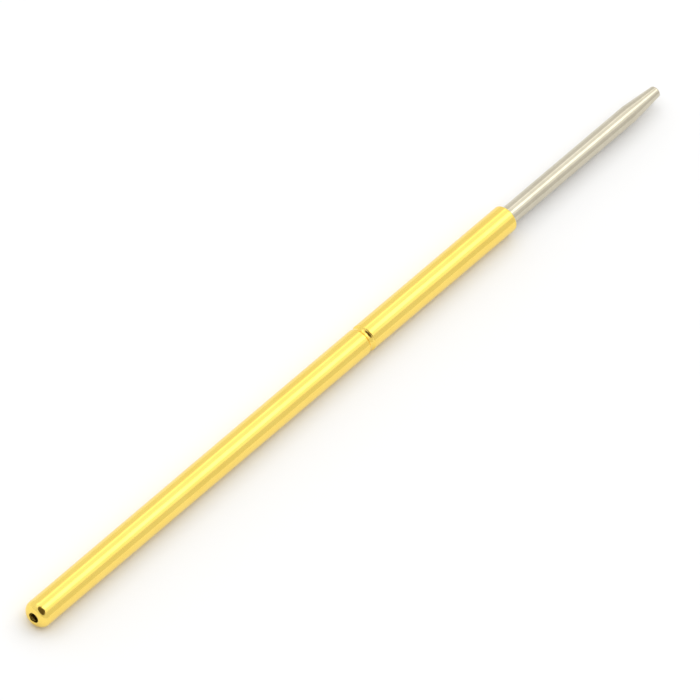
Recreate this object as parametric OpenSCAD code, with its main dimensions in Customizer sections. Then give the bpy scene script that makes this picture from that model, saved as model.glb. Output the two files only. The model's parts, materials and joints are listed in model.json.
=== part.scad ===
// Spring-loaded contact pin (pogo pin), lying along the X axis, in millimetres.
// The contact tip points towards -X and the closed end of the barrel towards +X.
// x = 0 is where the barrel's straight wall starts, just behind its rounded mouth.

/* [Barrel] */
// Outside diameter of the barrel
barrel_d = 1.02; // [0.90:0.01:1.40]
// Wall thickness of the barrel tube
barrel_wall = 0.12; // [0.08:0.01:0.16]
// Length of the barrel from its mouth to its closed end
barrel_len = 25.1; // [24:0.1:40]
// Radius of the rounded outer edge at the mouth
mouth_round = 0.07; // [0.04:0.01:0.08]
// Length of the rolled-in guide lip inside the mouth
lip_len = 0.4; // [0.25:0.05:0.6]
// How far the guide lip stands in from the bore
lip_step = 0.03; // [0.02:0.005:0.05]
// Outside radius of the rounded closed end
end_round = 0.3; // [0.22:0.01:0.36]
// Diameter of the vent hole in the closed end
vent_d = 0.38; // [0.25:0.01:0.45]

/* [Ring groove] */
// Radius of the roller edge that presses the groove
groove_roll_r = 0.14; // [0.12:0.01:0.18]
// Depth of the groove below the barrel's surface
groove_depth = 0.08; // [0.06:0.005:0.1]

/* [Plunger] */
// How far the plunger stands out of the mouth at rest
reach = 8.25; // [7:0.05:12]
// Full stroke of the plunger
travel = 6.35; // [4:0.05:6.7]
// Length of the tapered contact tip
tip_len = 1.5; // [0.8:0.1:2]
// Diameter of the blunt end of the tip
tip_d = 0.44; // [0.3:0.01:0.5]
// Radius of the edge around the blunt end
tip_round = 0.06; // [0.03:0.01:0.1]
// Length of full-diameter shaft inside the mouth at rest
guide_len = 1.25; // [0.8:0.05:2]
// Length of the head at the plunger's tail
head_len = 2; // [1:0.1:3]
// Length of the cone on the tail that centres the spring
pilot_len = 0.45; // [0.3:0.05:0.6]
// Chamfer on the plunger's shoulders
shoulder_chamfer = 0.04; // [0.02:0.01:0.06]

/* [Spring] */
// Diameter of the spring wire
wire_d = 0.13; // [0.10:0.005:0.14]
// Number of turns, with one closed turn at each end
coil_turns = 50; // [36:1:56]

/* [Clearances] */
// Radial clearance between the shaft and the guide lip
guide_clear = 0.02; // [0.01:0.005:0.03]
// Radial clearance between the tail head and the bore
head_clear = 0.02; // [0.01:0.005:0.03]
// Radial clearance between the neck and the bead inside the groove
neck_clear = 0.05; // [0.03:0.01:0.07]
// Radial clearance on both sides of the spring, to the bore and to the pilot cone
spring_clear = 0.04; // [0.02:0.01:0.05]
// Gap left along the axis where pieces stop against each other
stop_clear = 0.02; // [0.01:0.01:0.05]

/* [Hidden] */
$fn = 96;

// Radii of the barrel
barrel_r = barrel_d / 2;
bore_r = barrel_r - barrel_wall;
lip_r = bore_r - lip_step;
bead_r = bore_r - groove_depth;
bore_end_round = end_round - barrel_wall;

// Radii of the plunger, each set by what it runs in
shaft_r = lip_r - guide_clear;
neck_r = bead_r - neck_clear;
head_r = bore_r - head_clear;
tip_r = tip_d / 2;

// The groove has the shape of the roller's edge, and the bead inside it is one wall further in
bead_roll_r = groove_roll_r + barrel_wall;
roll_centre_r = barrel_r - groove_depth + groove_roll_r;
bead_edge = asin((roll_centre_r - bore_r) / bead_roll_r);
bead_half = bead_roll_r * cos(bead_edge);
groove_edge = asin((roll_centre_r - barrel_r) / groove_roll_r);

// Places along the axis
mouth_x = -mouth_round;
end_x = mouth_x + barrel_len;
bore_end_x = end_x - barrel_wall;
tip_x = mouth_x - reach;
guide_end_x = mouth_x + guide_len;
groove_x = guide_end_x + travel + stop_clear + bead_half;
head_x = groove_x + bead_half + stop_clear;
tail_x = head_x + head_len;

// The spring fills the bore from the tail to where the closed end starts to round inwards
wire_r = wire_d / 2;
coil_r = bore_r - spring_clear - wire_r;
pilot_r = coil_r - wire_r - spring_clear;
coil_start_x = tail_x + stop_clear + wire_r;
coil_end_x = end_x - end_round;
turn_gap = 0.01;
closed_pitch = wire_d + turn_gap;
open_pitch = (coil_end_x - coil_start_x - 2 * closed_pitch) / (coil_turns - 2);
wire_sides = 6;
steps_per_turn = 12;

// Number of straight steps in the arcs of a section
arc_steps = 10;
// Cuts run this far past the faces they open
overrun = 0.1;

barrel_colour = [0.86, 0.66, 0.26];
plunger_colour = [0.76, 0.74, 0.68];
spring_colour = [0.62, 0.62, 0.64];

// Turns a section, drawn with x along the pin and y outwards, into a solid round the X axis
module turned() {
    rotate([0, 90, 0])
        rotate_extrude()
            mirror([1, -1])
                children();
}

// Points of an arc round (x, y), from one angle to another
function arc(x, y, r, from, to) = [
    for (step = [0:arc_steps])
        let (angle = from + (to - from) * step / arc_steps)
        [x + r * cos(angle), y + r * sin(angle)]
];

// Outside of the barrel from its mouth to its closed end, with the groove
function outer_wall() = concat(
    arc(0, barrel_r - mouth_round, mouth_round, 180, 90),
    arc(groove_x, roll_centre_r, groove_roll_r, 180 + groove_edge, 360 - groove_edge),
    arc(end_x - end_round, barrel_r - end_round, end_round, 90, 0)
);

// Inside of the barrel from its closed end back to its mouth, with the bead and the guide lip
function inner_wall() = concat(
    arc(end_x - end_round, barrel_r - end_round, bore_end_round, 0, 90),
    arc(groove_x, roll_centre_r, bead_roll_r, 360 - bead_edge, 180 + bead_edge),
    [
        [mouth_x + lip_len + lip_step, bore_r],
        [mouth_x + lip_len, lip_r],
        [mouth_x, lip_r]
    ]
);

module barrel() {
    color(barrel_colour)
        difference() {
            turned()
                polygon(concat(outer_wall(), [[end_x, 0], [bore_end_x, 0]], inner_wall()));
            translate([bore_end_x - overrun, 0, 0])
                rotate([0, 90, 0])
                    cylinder(h = barrel_wall + 2 * overrun, d = vent_d);
        }
}

// Contact tip and shaft, from the middle of the blunt end to the back of the guide length
function front_outline() = concat(
    [[tip_x, 0]],
    arc(tip_x + tip_round, tip_r - tip_round, tip_round, 180, 90),
    [
        [tip_x + tip_len, shaft_r],
        [guide_end_x - shoulder_chamfer, shaft_r],
        [guide_end_x, shaft_r - shoulder_chamfer]
    ]
);

// Neck, head and pilot cone, from the back of the guide length to the end of the cone
function tail_outline() = [
    [guide_end_x, neck_r],
    [head_x, neck_r],
    [head_x, head_r - shoulder_chamfer],
    [head_x + shoulder_chamfer, head_r],
    [tail_x - shoulder_chamfer, head_r],
    [tail_x, head_r - shoulder_chamfer],
    [tail_x, pilot_r],
    [tail_x + pilot_len, pilot_r / 2],
    [tail_x + pilot_len, 0]
];

module plunger() {
    color(plunger_colour)
        turned()
            polygon(concat(front_outline(), tail_outline()));
}

// Where the wire's centre is along the axis after a number of turns
function coil_x(turns) =
    turns < 1 ? coil_start_x + turns * closed_pitch :
    turns > coil_turns - 1 ? coil_end_x - (coil_turns - turns) * closed_pitch :
    coil_start_x + closed_pitch + (turns - 1) * open_pitch;

// One corner of the wire: turned round the axis by the coil and round the wire by the corner
function wire_point(turns, corner) =
    let (
        r = coil_r + wire_r * cos(corner),
        x = coil_x(turns) + wire_r * sin(corner)
    )
    [x, r * cos(360 * turns), r * sin(360 * turns)];

module spring() {
    rings = coil_turns * steps_per_turn;
    points = [
        for (ring = [0:rings])
            for (side = [0:wire_sides - 1])
                wire_point(ring / steps_per_turn, 360 * side / wire_sides)
    ];
    start_cap = [for (side = [0:wire_sides - 1]) side];
    end_cap = [for (side = [0:wire_sides - 1]) rings * wire_sides + wire_sides - 1 - side];
    walls = [
        for (ring = [0:rings - 1])
            for (side = [0:wire_sides - 1])
                [
                    ring * wire_sides + side,
                    (ring + 1) * wire_sides + side,
                    (ring + 1) * wire_sides + (side + 1) % wire_sides,
                    ring * wire_sides + (side + 1) % wire_sides
                ]
    ];
    color(spring_colour)
        polyhedron(points, concat([start_cap, end_cap], walls));
}

barrel();
plunger();
spring();
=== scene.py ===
import json
import math

import bpy
from mathutils import Matrix, Vector


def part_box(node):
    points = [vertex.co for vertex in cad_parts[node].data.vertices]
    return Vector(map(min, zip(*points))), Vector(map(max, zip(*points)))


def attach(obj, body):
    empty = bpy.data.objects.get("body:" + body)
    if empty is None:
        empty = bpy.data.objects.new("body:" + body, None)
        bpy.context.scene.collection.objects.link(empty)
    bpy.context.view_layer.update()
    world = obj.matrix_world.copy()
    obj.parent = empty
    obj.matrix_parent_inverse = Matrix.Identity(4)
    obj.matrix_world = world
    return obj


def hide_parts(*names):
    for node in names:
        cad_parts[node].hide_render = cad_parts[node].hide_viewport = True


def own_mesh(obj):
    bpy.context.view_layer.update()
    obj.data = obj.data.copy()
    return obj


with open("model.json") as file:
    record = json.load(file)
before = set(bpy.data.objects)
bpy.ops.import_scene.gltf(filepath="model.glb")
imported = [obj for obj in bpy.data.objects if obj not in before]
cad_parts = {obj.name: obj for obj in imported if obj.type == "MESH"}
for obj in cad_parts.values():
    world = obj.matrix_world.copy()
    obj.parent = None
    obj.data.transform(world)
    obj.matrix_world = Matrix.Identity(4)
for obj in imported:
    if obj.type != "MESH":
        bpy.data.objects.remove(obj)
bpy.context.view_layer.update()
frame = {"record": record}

MM = 0.001

# ---------------------------------------------------------------- sizes of the pin
barrel_low, barrel_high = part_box("barrel")
plunger_low, plunger_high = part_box("plunger")
spring_low, spring_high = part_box("spring")
STROKE = frame["record"]["behaviour"]["joints"][0]["range_m"][1]

# The barrel: a tube along X, with its mouth towards -X and its closed end towards +X
MOUTH_X = barrel_low[0]
END_X = barrel_high[0]
BARREL_R = barrel_high[2]
BARREL_WALL = 0.12 * MM
BORE_R = BARREL_R - BARREL_WALL
MOUTH_ROUND = 0.07 * MM
LIP_LENGTH = 0.4 * MM
LIP_STEP = 0.03 * MM
LIP_R = BORE_R - LIP_STEP
LIP_EDGE_ROUND = 0.02 * MM
END_ROUND = 0.3 * MM
VENT_R = 0.19 * MM
VENT_EDGE_ROUND = 0.02 * MM

# The plunger: blunt taper and shaft, then inside the barrel a guide, a neck and a head
TIP_X = plunger_low[0]
PLUNGER_END_X = plunger_high[0]
HEAD_R = plunger_high[2]
TIP_LENGTH = 1.5 * MM
TIP_R = 0.22 * MM
TIP_ROUND = 0.06 * MM
SHAFT_R = 0.34 * MM
NECK_R = 0.26 * MM
GUIDE_LENGTH = 1.25 * MM
HEAD_LENGTH = 2.0 * MM
PILOT_R = 0.18 * MM
SHOULDER_ROUND = 0.04 * MM
STOP_CLEARANCE = 0.02 * MM

# The ring groove: a round-edged roller pressed into the wall, with rounded shoulders
GROOVE_ROLL_R = 0.14 * MM
GROOVE_DEPTH = 0.08 * MM
GROOVE_SHOULDER_R = 0.04 * MM
BEAD_ROLL_R = GROOVE_ROLL_R + BARREL_WALL
ROLL_CENTRE_R = BARREL_R - GROOVE_DEPTH + GROOVE_ROLL_R
BEAD_HALF = math.sqrt(BEAD_ROLL_R**2 - (ROLL_CENTRE_R - BORE_R) ** 2)
GUIDE_END_X = GUIDE_LENGTH + MOUTH_X
GROOVE_X = GUIDE_END_X + STROKE + STOP_CLEARANCE + BEAD_HALF
HEAD_X = GROOVE_X + BEAD_HALF + STOP_CLEARANCE
TAIL_X = HEAD_X + HEAD_LENGTH

# The spring: a coil of round wire, with a closed turn at each end
WIRE_R = 0.065 * MM
COIL_R = spring_high[2] - WIRE_R
COIL_START_X = spring_low[0] + WIRE_R
COIL_END_X = spring_high[0] - WIRE_R
COIL_TURNS = 50
FEWEST_TURNS = 4
MOST_TURNS = 400
CLOSED_PITCH = 0.14 * MM
POINTS_PER_TURN = 24
WIRE_SIDES = 10

# Fineness of the turned pieces
SIDES_ROUND = 128
FEWEST_SIDES = 8
MOST_SIDES = 512
ARC_STEP = math.radians(9)
SUPPORT = 0.006 * MM
SHORTEST_RUN = 3 * SUPPORT
RING_SPACING = 0.5 * MM
MERGE = 1e-8


# ---------------------------------------------------------------- sections
def arc(x, r, radius, start, end):
    """Points of an arc round (x, r), between two angles in degrees."""
    turn = math.radians(end - start)
    steps = max(2, math.ceil(abs(turn) / ARC_STEP))
    angles = [math.radians(start) + turn * step / steps for step in range(steps + 1)]
    return [(x + radius * math.cos(a), r + radius * math.sin(a)) for a in angles]


def straight(start, end):
    """Points inside a straight stretch: one close to each end, and an even row between."""
    length = math.dist(start, end)
    rings = int(length / RING_SPACING)
    shares = [SUPPORT / length]
    shares += [ring / (rings + 1) for ring in range(1, rings + 1)]
    shares.append(1 - SUPPORT / length)
    return [(start[0] + (end[0] - start[0]) * s, start[1] + (end[1] - start[1]) * s) for s in shares]


def joined(*stretches):
    """Strings stretches together, with a straight run from each to the next."""
    points = list(stretches[0])
    for stretch in stretches[1:]:
        gap = math.dist(points[-1], stretch[0])
        if gap > SHORTEST_RUN:
            points += straight(points[-1], stretch[0])
        if gap < MERGE:
            points.pop()
        points += stretch
    return points


def groove_section():
    """The rolled groove seen from the mouth: shoulder, hollow and shoulder, without a crease."""
    shoulder_r = BARREL_R - GROOVE_SHOULDER_R
    drop = ROLL_CENTRE_R - shoulder_r
    reach = math.sqrt((GROOVE_ROLL_R + GROOVE_SHOULDER_R) ** 2 - drop**2)
    lean = math.degrees(math.atan2(drop, reach))
    front = arc(GROOVE_X - reach, shoulder_r, GROOVE_SHOULDER_R, 90, lean)
    hollow = arc(GROOVE_X, ROLL_CENTRE_R, GROOVE_ROLL_R, 180 + lean, 360 - lean)
    back = arc(GROOVE_X + reach, shoulder_r, GROOVE_SHOULDER_R, 180 - lean, 90)
    return front + hollow[1:-1] + back


def barrel_section():
    """The barrel's wall all the way round, starting at the inner edge of its mouth."""
    end_centre_x = END_X - END_ROUND
    end_centre_r = BARREL_R - END_ROUND
    bore_end_x = END_X - BARREL_WALL
    bead = math.degrees(math.asin((ROLL_CENTRE_R - BORE_R) / BEAD_ROLL_R))
    vent_x = END_X - VENT_EDGE_ROUND
    vent_r = VENT_R + VENT_EDGE_ROUND
    return joined(
        arc(MOUTH_X + LIP_EDGE_ROUND, LIP_R + LIP_EDGE_ROUND, LIP_EDGE_ROUND, 270, 180),
        arc(MOUTH_X + MOUTH_ROUND, BARREL_R - MOUTH_ROUND, MOUTH_ROUND, 180, 90),
        groove_section(),
        arc(end_centre_x, end_centre_r, END_ROUND, 90, 0),
        arc(vent_x, vent_r, VENT_EDGE_ROUND, 0, -90),
        [(bore_end_x, VENT_R)],
        arc(end_centre_x, end_centre_r, END_ROUND - BARREL_WALL, 0, 90),
        arc(GROOVE_X, ROLL_CENTRE_R, BEAD_ROLL_R, 360 - bead, 180 + bead),
        [(MOUTH_X + LIP_LENGTH + LIP_STEP, BORE_R)],
        [(MOUTH_X + LIP_LENGTH, LIP_R)],
    )


def plunger_section():
    """The plunger, from the middle of its blunt tip to the middle of its pilot cone."""
    taper = math.degrees(math.atan2(SHAFT_R - TIP_R, TIP_LENGTH))
    guide = arc(GUIDE_END_X - SHOULDER_ROUND, SHAFT_R - SHOULDER_ROUND, SHOULDER_ROUND, 90, 0)
    head_r = HEAD_R - SHOULDER_ROUND
    return joined(
        [(TIP_X, 0)],
        arc(TIP_X + TIP_ROUND, TIP_R - TIP_ROUND, TIP_ROUND, 180, 90 + taper),
        [(TIP_X + TIP_LENGTH, SHAFT_R)],
        guide,
        [(GUIDE_END_X, NECK_R)],
        [(HEAD_X, NECK_R)],
        arc(HEAD_X + SHOULDER_ROUND, head_r, SHOULDER_ROUND, 180, 90),
        arc(TAIL_X - SHOULDER_ROUND, head_r, SHOULDER_ROUND, 90, 0),
        [(TAIL_X, PILOT_R)],
        [(PLUNGER_END_X, PILOT_R / 2)],
        [(PLUNGER_END_X, 0)],
    )


# ---------------------------------------------------------------- node helpers
def node(tree, kind, **settings):
    """Adds a node to a tree and sets its properties."""
    new = tree.nodes.new(kind)
    for name, value in settings.items():
        setattr(new, name, value)
    return new


def feed(tree, socket, value):
    """Wires a socket to another node's output, or sets it to a plain value."""
    if isinstance(value, bpy.types.NodeSocket):
        tree.links.new(value, socket)
    else:
        socket.default_value = value


def work_out(tree, operation, *values):
    """The result of one step of arithmetic on the given values."""
    step = node(tree, "ShaderNodeMath", operation=operation)
    for socket, value in zip(step.inputs, values):
        feed(tree, socket, value)
    return step.outputs[0]


def vector_of(tree, x, y, z):
    """Three numbers put together into one vector."""
    together = node(tree, "ShaderNodeCombineXYZ")
    for socket, value in zip(together.inputs, (x, y, z)):
        feed(tree, socket, value)
    return together.outputs[0]


def fade(tree, value, start, end, low, high):
    """Maps a value from start..end to low..high, and holds it there beyond."""
    ramp = node(tree, "ShaderNodeMapRange")
    for socket, given in zip(ramp.inputs, (value, start, end, low, high)):
        feed(tree, socket, given)
    return ramp.outputs[0]


def add_input(tree, name, kind, default=None, lowest=None, highest=None):
    """Adds a named input to a tree's interface."""
    socket = tree.interface.new_socket(name, in_out="INPUT", socket_type=kind)
    if default is not None:
        socket.default_value = default
    if lowest is not None:
        socket.min_value = lowest
    if highest is not None:
        socket.max_value = highest
    return socket


# ---------------------------------------------------------------- lathe and coil trees
def finish_body(tree, mesh, metal_input, result):
    """Shades the mesh smooth, makes it real and gives it its metal."""
    smooth = node(tree, "GeometryNodeSetShadeSmooth")
    feed(tree, smooth.inputs[0], mesh)
    real = node(tree, "GeometryNodeRealizeInstances")
    feed(tree, real.inputs["Geometry"], smooth.outputs[0])
    dressed = node(tree, "GeometryNodeSetMaterial")
    feed(tree, dressed.inputs["Geometry"], real.outputs["Geometry"])
    feed(tree, dressed.inputs["Material"], metal_input)
    feed(tree, result, dressed.outputs["Geometry"])


def lathe_tree():
    """Turns a section drawn in the XZ plane round the X axis into a closed body."""
    tree = bpy.data.node_groups.new("lathe", "GeometryNodeTree")
    tree.is_modifier = True
    tree.interface.new_socket("Section", in_out="INPUT", socket_type="NodeSocketGeometry")
    add_input(tree, "Sides", "NodeSocketInt", SIDES_ROUND, FEWEST_SIDES, MOST_SIDES)
    add_input(tree, "Metal", "NodeSocketMaterial")
    tree.interface.new_socket("Body", in_out="OUTPUT", socket_type="NodeSocketGeometry")
    given = node(tree, "NodeGroupInput")
    result = node(tree, "NodeGroupOutput")
    sides = given.outputs["Sides"]

    # A grid with a column for each side and one more. Each takes the section's points, turned about X
    size = node(tree, "GeometryNodeAttributeDomainSize", component="MESH")
    feed(tree, size.inputs["Geometry"], given.outputs["Section"])
    rows = size.outputs["Point Count"]
    grid = node(tree, "GeometryNodeMeshGrid")
    feed(tree, grid.inputs["Vertices X"], work_out(tree, "ADD", sides, 1))
    feed(tree, grid.inputs["Vertices Y"], rows)
    index = node(tree, "GeometryNodeInputIndex").outputs[0]
    column = work_out(tree, "FLOOR", work_out(tree, "DIVIDE", work_out(tree, "ADD", index, 0.5), rows))
    row = work_out(tree, "SUBTRACT", index, work_out(tree, "MULTIPLY", column, rows))
    place = node(tree, "GeometryNodeInputPosition")
    sample = node(tree, "GeometryNodeSampleIndex", data_type="FLOAT_VECTOR", domain="POINT")
    feed(tree, sample.inputs["Geometry"], given.outputs["Section"])
    feed(tree, sample.inputs["Value"], place.outputs[0])
    feed(tree, sample.inputs["Index"], row)
    split = node(tree, "ShaderNodeSeparateXYZ")
    feed(tree, split.inputs[0], sample.outputs["Value"])
    turn = work_out(tree, "MULTIPLY", work_out(tree, "DIVIDE", column, sides), math.tau)
    y = work_out(tree, "MULTIPLY", split.outputs["Z"], work_out(tree, "SINE", turn))
    z = work_out(tree, "MULTIPLY", split.outputs["Z"], work_out(tree, "COSINE", turn))
    shaped = node(tree, "GeometryNodeSetPosition")
    feed(tree, shaped.inputs["Geometry"], grid.outputs["Mesh"])
    feed(tree, shaped.inputs["Position"], vector_of(tree, split.outputs["X"], y, z))
    # The faces are turned outwards. Points that meet, at the seam or on the axis, become one
    outward = node(tree, "GeometryNodeFlipFaces")
    feed(tree, outward.inputs["Mesh"], shaped.outputs["Geometry"])
    sewn = node(tree, "GeometryNodeMergeByDistance")
    feed(tree, sewn.inputs["Geometry"], outward.outputs["Mesh"])
    feed(tree, sewn.inputs["Distance"], MERGE)
    finish_body(tree, sewn.outputs["Geometry"], given.outputs["Metal"], result.inputs["Body"])
    return tree


def coil_tree():
    """Winds round wire into a coil along X, with closely wound turns at both ends."""
    tree = bpy.data.node_groups.new("coil_winder", "GeometryNodeTree")
    tree.is_modifier = True
    add_input(tree, "Start", "NodeSocketFloat", COIL_START_X)
    add_input(tree, "Length", "NodeSocketFloat", COIL_END_X - COIL_START_X)
    add_input(tree, "Coil Radius", "NodeSocketFloat", COIL_R)
    add_input(tree, "Wire Radius", "NodeSocketFloat", WIRE_R)
    add_input(tree, "Turns", "NodeSocketInt", COIL_TURNS, FEWEST_TURNS, MOST_TURNS)
    add_input(tree, "Closed Pitch", "NodeSocketFloat", CLOSED_PITCH)
    add_input(tree, "Metal", "NodeSocketMaterial")
    tree.interface.new_socket("Coil", in_out="OUTPUT", socket_type="NodeSocketGeometry")
    given = node(tree, "NodeGroupInput")
    result = node(tree, "NodeGroupOutput")
    turns = given.outputs["Turns"]
    closed = given.outputs["Closed Pitch"]

    line = node(tree, "GeometryNodeMeshLine", mode="OFFSET")
    count = work_out(tree, "ADD", work_out(tree, "MULTIPLY", turns, POINTS_PER_TURN), 1)
    feed(tree, line.inputs["Count"], count)
    index = node(tree, "GeometryNodeInputIndex").outputs[0]
    wound = work_out(tree, "DIVIDE", index, POINTS_PER_TURN)
    open_turns = work_out(tree, "SUBTRACT", turns, 2)
    closed_length = work_out(tree, "MULTIPLY", closed, 2)
    open_length = work_out(tree, "SUBTRACT", given.outputs["Length"], closed_length)
    open_pitch = work_out(tree, "DIVIDE", open_length, open_turns)
    # Closed for one turn, open for all but one, and closed again for the last
    first = work_out(tree, "MULTIPLY", work_out(tree, "MINIMUM", wound, 1), closed)
    opened = work_out(tree, "MAXIMUM", work_out(tree, "SUBTRACT", wound, 1), 0)
    middle = work_out(tree, "MULTIPLY", work_out(tree, "MINIMUM", opened, open_turns), open_pitch)
    past = work_out(tree, "SUBTRACT", wound, work_out(tree, "SUBTRACT", turns, 1))
    last = work_out(tree, "MULTIPLY", work_out(tree, "MAXIMUM", past, 0), closed)
    along = work_out(tree, "ADD", work_out(tree, "ADD", first, middle), last)
    x = work_out(tree, "ADD", given.outputs["Start"], along)
    angle = work_out(tree, "MULTIPLY", wound, math.tau)
    y = work_out(tree, "MULTIPLY", given.outputs["Coil Radius"], work_out(tree, "COSINE", angle))
    z = work_out(tree, "MULTIPLY", given.outputs["Coil Radius"], work_out(tree, "SINE", angle))
    shaped = node(tree, "GeometryNodeSetPosition")
    feed(tree, shaped.inputs["Geometry"], line.outputs["Mesh"])
    feed(tree, shaped.inputs["Position"], vector_of(tree, x, y, z))
    curve = node(tree, "GeometryNodeMeshToCurve")
    feed(tree, curve.inputs["Mesh"], shaped.outputs["Geometry"])
    wire = node(tree, "GeometryNodeCurvePrimitiveCircle", mode="RADIUS")
    feed(tree, wire.inputs["Resolution"], WIRE_SIDES)
    feed(tree, wire.inputs["Radius"], given.outputs["Wire Radius"])
    swept = node(tree, "GeometryNodeCurveToMesh")
    feed(tree, swept.inputs["Curve"], curve.outputs["Curve"])
    feed(tree, swept.inputs["Profile Curve"], wire.outputs["Curve"])
    feed(tree, swept.inputs["Fill Caps"], True)
    finish_body(tree, swept.outputs["Mesh"], given.outputs["Metal"], result.inputs["Coil"])
    return tree


def linked(name, data):
    """A new object in the scene."""
    new = bpy.data.objects.new(name, data)
    bpy.context.scene.collection.objects.link(new)
    return new


def made_with(tree, name, start_mesh, **inputs):
    """Runs a tree on a starting mesh and keeps its result as a plain mesh object."""
    rough = linked(name + "_rough", start_mesh)
    modifier = rough.modifiers.new("maker", "NODES")
    modifier.node_group = tree
    for socket in tree.interface.items_tree:
        word = socket.name.replace(" ", "_")
        if socket.in_out == "INPUT" and word in inputs:
            modifier[socket.identifier] = inputs[word]
    graph = bpy.context.evaluated_depsgraph_get()
    mesh = bpy.data.meshes.new_from_object(rough.evaluated_get(graph))
    mesh.name = name
    bpy.data.objects.remove(rough)
    return linked(name, mesh)


def section_mesh(name, points, closed):
    """A mesh of edges through the section's points, in the XZ plane."""
    ring = points + points[:1] if closed else points
    mesh = bpy.data.meshes.new(name)
    edges = [(i, i + 1) for i in range(len(ring) - 1)]
    mesh.from_pydata([(x, 0, r) for x, r in ring], edges, [])
    return mesh


# ---------------------------------------------------------------- metal finishes
LINE_DETAIL = 3.0
LINE_HARSHNESS = 0.6
CLOUD_DETAIL = 4.0
TONE_LOW = 0.35
TONE_HIGH = 0.65

# The colour sockets of a mix node go by number, because their names aren't unique
MIX_FIRST_COLOUR = 6
MIX_SECOND_COLOUR = 7
MIX_COLOUR_RESULT = 2

MICRON = 0.001 * MM


def fine_lines_group():
    """Fine drawing or grinding marks and a faint cloudiness, for every metal of the pin."""
    group = bpy.data.node_groups.new("fine_metal_lines", "ShaderNodeTree")
    for name in ("Along X", "Across", "Cloud Scale", "Depth of Tone"):
        add_input(group, name, "NodeSocketFloat")
    for name in ("Bright", "Dull"):
        add_input(group, name, "NodeSocketColor")
    for name in ("Smoothest", "Roughest"):
        add_input(group, name, "NodeSocketFloat")
    for name, kind in (("Color", "Color"), ("Roughness", "Float"), ("Height", "Float")):
        group.interface.new_socket(name, in_out="OUTPUT", socket_type="NodeSocket" + kind)
    given = node(group, "NodeGroupInput")
    result = node(group, "NodeGroupOutput")
    place = node(group, "ShaderNodeTexCoord").outputs["Object"]
    stretch = node(group, "ShaderNodeMapping", vector_type="POINT")
    feed(group, stretch.inputs["Vector"], place)
    across = given.outputs["Across"]
    spacing = vector_of(group, given.outputs["Along X"], across, across)
    feed(group, stretch.inputs["Scale"], spacing)
    lines = node(group, "ShaderNodeTexNoise")
    feed(group, lines.inputs["Vector"], stretch.outputs[0])
    feed(group, lines.inputs["Scale"], 1.0)
    feed(group, lines.inputs["Detail"], LINE_DETAIL)
    feed(group, lines.inputs["Roughness"], LINE_HARSHNESS)
    clouds = node(group, "ShaderNodeTexNoise")
    feed(group, clouds.inputs["Vector"], place)
    feed(group, clouds.inputs["Scale"], given.outputs["Cloud Scale"])
    feed(group, clouds.inputs["Detail"], CLOUD_DETAIL)
    line = lines.outputs[0]
    both = work_out(group, "MULTIPLY", work_out(group, "ADD", line, clouds.outputs[0]), 0.5)
    wear = fade(group, both, TONE_LOW, TONE_HIGH, 0.0, 1.0)
    toned = work_out(group, "MULTIPLY", wear, given.outputs["Depth of Tone"])
    colour = node(group, "ShaderNodeMix", data_type="RGBA")
    feed(group, colour.inputs["Factor"], toned)
    feed(group, colour.inputs[MIX_FIRST_COLOUR], given.outputs["Bright"])
    feed(group, colour.inputs[MIX_SECOND_COLOUR], given.outputs["Dull"])
    feed(group, result.inputs["Color"], colour.outputs[MIX_COLOUR_RESULT])
    smoothest = given.outputs["Smoothest"]
    rough = fade(group, wear, 0.0, 1.0, smoothest, given.outputs["Roughest"])
    feed(group, result.inputs["Roughness"], rough)
    feed(group, result.inputs["Height"], line)
    return group


def metal(name, group, line_depth, **values):
    """A bare metal with its own colour, smoothness and marks from the shared group."""
    material = bpy.data.materials.new(name)
    material.use_nodes = True
    tree = material.node_tree
    shader = tree.nodes["Principled BSDF"]
    shader.inputs["Metallic"].default_value = 1.0
    marks = node(tree, "ShaderNodeGroup", node_tree=group)
    for socket, value in values.items():
        marks.inputs[socket.replace("_", " ")].default_value = value
    feed(tree, shader.inputs["Base Color"], marks.outputs["Color"])
    feed(tree, shader.inputs["Roughness"], marks.outputs["Roughness"])
    bump = node(tree, "ShaderNodeBump")
    bump.inputs["Strength"].default_value = 1.0
    bump.inputs["Distance"].default_value = line_depth
    feed(tree, bump.inputs["Height"], marks.outputs["Height"])
    feed(tree, shader.inputs["Normal"], bump.outputs["Normal"])
    return material


fine_lines = fine_lines_group()
gold = metal(
    "gold_plate_on_drawn_tube", fine_lines, 0.6 * MICRON,
    Along_X=500.0, Across=26000.0, Cloud_Scale=1100.0, Depth_of_Tone=0.6,
    Bright=(1.0, 0.75, 0.175, 1), Dull=(0.95, 0.67, 0.13, 1),
    Smoothest=0.13, Roughest=0.2,
)
nickel = metal(
    "nickel_plate_on_ground_steel", fine_lines, 0.5 * MICRON,
    Along_X=42000.0, Across=1500.0, Cloud_Scale=1400.0, Depth_of_Tone=0.7,
    Bright=(0.65, 0.60, 0.475, 1), Dull=(0.55, 0.505, 0.39, 1),
    Smoothest=0.12, Roughest=0.2,
)
music_wire = metal(
    "drawn_spring_wire", fine_lines, 0.4 * MICRON,
    Along_X=30000.0, Across=30000.0, Cloud_Scale=3000.0, Depth_of_Tone=0.5,
    Bright=(0.58, 0.58, 0.58, 1), Dull=(0.42, 0.42, 0.43, 1),
    Smoothest=0.25, Roughest=0.4,
)

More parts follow.
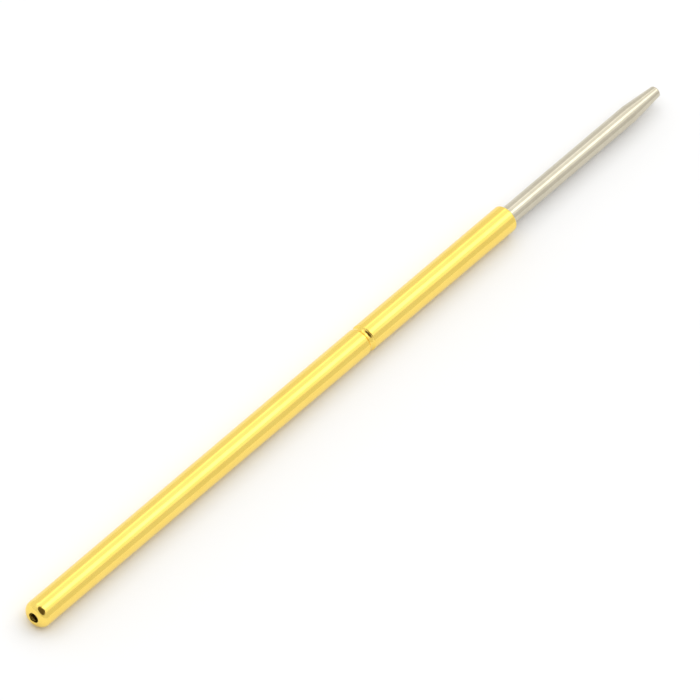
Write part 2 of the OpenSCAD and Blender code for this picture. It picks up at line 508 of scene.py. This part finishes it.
# ---------------------------------------------------------------- the three pieces
lathe = lathe_tree()
barrel = made_with(
    lathe, "gilt_barrel", section_mesh("barrel_section", barrel_section(), True),
    Sides=SIDES_ROUND, Metal=gold,
)
plunger = made_with(
    lathe, "nickel_plunger", section_mesh("plunger_section", plunger_section(), False),
    Sides=SIDES_ROUND, Metal=nickel,
)
spring = made_with(
    coil_tree(), "coil_spring", bpy.data.meshes.new("coil_start"),
    Start=COIL_START_X, Length=COIL_END_X - COIL_START_X, Coil_Radius=COIL_R,
    Wire_Radius=WIRE_R, Turns=COIL_TURNS, Closed_Pitch=CLOSED_PITCH, Metal=music_wire,
)

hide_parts("barrel")
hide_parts("plunger")
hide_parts("spring")
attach(barrel, "barrel")
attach(plunger, "plunger")
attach(spring, "barrel")
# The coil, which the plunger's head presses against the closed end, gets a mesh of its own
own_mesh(spring)

# ---------------------------------------------------------------- floor, light and camera
PIN_CENTRE = Vector(((TIP_X + END_X) / 2, 0, 0))

# Where the camera stands, in degrees and metres, and its lens in millimetres
CAMERA_AZIMUTH = 116.3
CAMERA_ELEVATION = 51.3
CAMERA_DISTANCE = 0.5245
CAMERA_ROLL = 17.4
CAMERA_NEAR = 0.01
CAMERA_FAR = 20.0
LENS = 796.0
SENSOR = 36.0

# The white sheet that the pin lies on
SHEET_Z = barrel_low[2]
SHEET_HALF = 1.5
SHEET_WHITE = (0.93, 0.93, 0.93, 1)
SHEET_ROUGHNESS = 0.9

# The softbox over the pin and two brighter tubes inside its outline, placed from the pin's middle
SOFTBOX_X = -0.45
SOFTBOX_Y = 0.055
SOFTBOX_Z = 1.0
SOFTBOX_WIDTH = 2.4
SOFTBOX_DEPTH = 2.1
SOFTBOX_RADIANCE = 0.6
TUBE_X = -0.8
TUBE_Z = 0.98
TUBE_LENGTH = 1.7
NEAR_TUBE = {"y": 0.22, "depth": 0.45, "radiance": 0.85}
FAR_TUBE = {"y": -0.75, "depth": 0.35, "radiance": 0.3}
LAMP_COLOUR = (1.0, 0.995, 0.985)

# Brightness of the room: as a source of light, and as gloss shows its walls and the softbox's outline
BACK_LIGHT = 1.1
FRONT_LIGHT = 0.22
BACK_WALL = 0.93
FRONT_WALL = 0.8
CEILING_GLOSS = 0.6
CEILING_SOFT_EDGE = 0.02
LOWEST_RISE = 0.01

# The dark card on the camera's side, seen only in gloss: it paints a dark reflection of the camera's
# side into the metal
CARD_ELEVATION = 59.0
CARD_DISTANCE = 0.9
CARD_HALF_WIDTH = CARD_DISTANCE * math.tan(math.radians(33))
CARD_HALF_HEIGHT = CARD_DISTANCE * math.tan(math.radians(42))
CARD_CORNERS = 48
# Colour of the painted dark reflection: a dim glow that lights nothing
DARK_REFLECTION_COLOUR = (0.10, 0.075, 0.04, 1)


def direction(azimuth, elevation):
    """Unit vector from the pin towards a place given by two angles in degrees."""
    a = math.radians(azimuth)
    e = math.radians(elevation)
    return Vector((math.sin(a) * math.cos(e), -math.cos(a) * math.cos(e), math.sin(e)))


def facing(place, target, roll=0.0):
    """Matrix of a card or camera at a place that looks at the target."""
    back = (place - target).normalized()
    right = Vector((0, 0, 1)).cross(back).normalized()
    up = back.cross(right)
    turned = Matrix((right, up, back)).transposed().to_4x4()
    return Matrix.Translation(place) @ turned @ Matrix.Rotation(math.radians(roll), 4, "Z")


def add_camera():
    """The camera, with a long lens that frames the whole pin."""
    data = bpy.data.cameras.new("camera")
    data.lens = LENS
    data.sensor_width = SENSOR
    data.clip_start = CAMERA_NEAR
    data.clip_end = CAMERA_FAR
    camera = linked("camera", data)
    place = PIN_CENTRE + direction(CAMERA_AZIMUTH, CAMERA_ELEVATION) * CAMERA_DISTANCE
    camera.matrix_world = facing(place, PIN_CENTRE, CAMERA_ROLL)
    bpy.context.scene.camera = camera


def add_softbox(name, centre, width, depth, radiance):
    """A flat softbox that hangs level over the pin, as bright as its radiance says."""
    data = bpy.data.lights.new(name, "AREA")
    data.shape = "RECTANGLE"
    data.size = width
    data.size_y = depth
    data.energy = radiance * math.pi * width * depth
    data.color = LAMP_COLOUR
    linked(name, data).location = PIN_CENTRE + Vector(centre)


def add_tube(name, y, depth, radiance):
    """A brighter strip inside the softbox's outline, along the pin."""
    add_softbox(name, (TUBE_X, y, TUBE_Z), TUBE_LENGTH, depth, radiance)


def white_sheet():
    """Matt white paper."""
    material = bpy.data.materials.new("white_sheet")
    material.use_nodes = True
    shader = material.node_tree.nodes["Principled BSDF"]
    shader.inputs["Base Color"].default_value = SHEET_WHITE
    shader.inputs["Roughness"].default_value = SHEET_ROUGHNESS
    shader.inputs["Specular IOR Level"].default_value = 0.0
    return material


def add_floor():
    """The sheet itself, level with the barrel's lowest line."""
    signs = [(-1, -1), (1, -1), (1, 1), (-1, 1)]
    mesh = bpy.data.meshes.new("floor")
    corners = [(x * SHEET_HALF, y * SHEET_HALF, SHEET_Z) for x, y in signs]
    mesh.from_pydata(corners, [], [(0, 1, 2, 3)])
    mesh.materials.append(white_sheet())
    floor = linked("floor", mesh)


def dark_reflection_card_material():
    """A very dim warm brown glow, which takes no light and throws no highlights: a painted dark
    reflection, not a lamp.
    """
    material = bpy.data.materials.new("dark_card")
    material.use_nodes = True
    tree = material.node_tree
    tree.nodes.remove(tree.nodes["Principled BSDF"])
    glow = node(tree, "ShaderNodeEmission")
    glow.inputs["Color"].default_value = DARK_REFLECTION_COLOUR
    feed(tree, tree.nodes["Material Output"].inputs["Surface"], glow.outputs[0])
    return material


def add_dark_reflection_card():
    """An oval dark card on the camera's side, seen only in gloss, where it puts a painted dark
    reflection into the metal.
    """
    place = PIN_CENTRE + direction(CAMERA_AZIMUTH, CARD_ELEVATION) * CARD_DISTANCE
    matrix = facing(place, PIN_CENTRE)
    angles = [math.tau * step / CARD_CORNERS for step in range(CARD_CORNERS)]
    oval = [(CARD_HALF_WIDTH * math.cos(a), CARD_HALF_HEIGHT * math.sin(a), 0) for a in angles]
    mesh = bpy.data.meshes.new("dark_card")
    mesh.from_pydata([matrix @ Vector(corner) for corner in oval], [], [range(CARD_CORNERS)])
    mesh.materials.append(dark_reflection_card_material())
    card = linked("dark_card", mesh)
    # Hidden from the camera, diffuse light and shadow, the card shows only as a painted reflection in
    # the metal
    card.visible_camera = False
    card.visible_diffuse = False
    card.visible_shadow = False
    card.visible_transmission = False


def softbox_outline(tree, way):
    """1 where a direction meets the softbox, 0 beside it, with a narrow soft edge."""
    rise = work_out(tree, "MAXIMUM", way["Z"], LOWEST_RISE)
    inside = []
    for axis, centre, width in (("X", SOFTBOX_X, SOFTBOX_WIDTH), ("Y", SOFTBOX_Y, SOFTBOX_DEPTH)):
        slope = work_out(tree, "DIVIDE", way[axis], rise)
        off = work_out(tree, "ABSOLUTE", work_out(tree, "SUBTRACT", slope, centre / SOFTBOX_Z))
        half = width / 2 / SOFTBOX_Z
        start = half - CEILING_SOFT_EDGE
        end = half + CEILING_SOFT_EDGE
        inside.append(fade(tree, off, start, end, 1.0, 0.0))
    return work_out(tree, "MULTIPLY", *inside)


def set_room():
    """A room that is pure white to the camera, brightest at the back as light, and grey in gloss."""
    world = bpy.data.worlds.new("white_room")
    bpy.context.scene.world = world
    world.use_nodes = True
    tree = world.node_tree
    room = tree.nodes["Background"]
    room.inputs["Color"].default_value = (1, 1, 1, 1)
    ray = node(tree, "ShaderNodeLightPath").outputs
    split = node(tree, "ShaderNodeSeparateXYZ")
    feed(tree, split.inputs[0], node(tree, "ShaderNodeTexCoord").outputs["Generated"])
    way = split.outputs
    light = fade(tree, way["Y"], -1.0, 1.0, BACK_LIGHT, FRONT_LIGHT)
    walls = fade(tree, way["Y"], -1.0, 1.0, BACK_WALL, FRONT_WALL)
    less = work_out(tree, "SUBTRACT", walls, CEILING_GLOSS)
    less = work_out(tree, "MULTIPLY", softbox_outline(tree, way), less)
    gloss = work_out(tree, "SUBTRACT", walls, less)
    shiny = work_out(tree, "MAXIMUM", ray["Is Glossy Ray"], ray["Is Transmission Ray"])
    for_gloss = work_out(tree, "MULTIPLY", shiny, work_out(tree, "SUBTRACT", gloss, light))
    white = work_out(tree, "SUBTRACT", 1.0, light)
    for_camera = work_out(tree, "MULTIPLY", ray["Is Camera Ray"], white)
    strength = work_out(tree, "ADD", light, work_out(tree, "ADD", for_gloss, for_camera))
    feed(tree, room.inputs["Strength"], strength)


add_camera()
add_floor()
add_dark_reflection_card()
set_room()
softbox_place = (SOFTBOX_X, SOFTBOX_Y, SOFTBOX_Z)
add_softbox("overhead_softbox", softbox_place, SOFTBOX_WIDTH, SOFTBOX_DEPTH, SOFTBOX_RADIANCE)
add_tube("softbox_near_tube", **NEAR_TUBE)
add_tube("softbox_far_tube", **FAR_TUBE)
bpy.context.scene.view_settings.view_transform = "Standard"
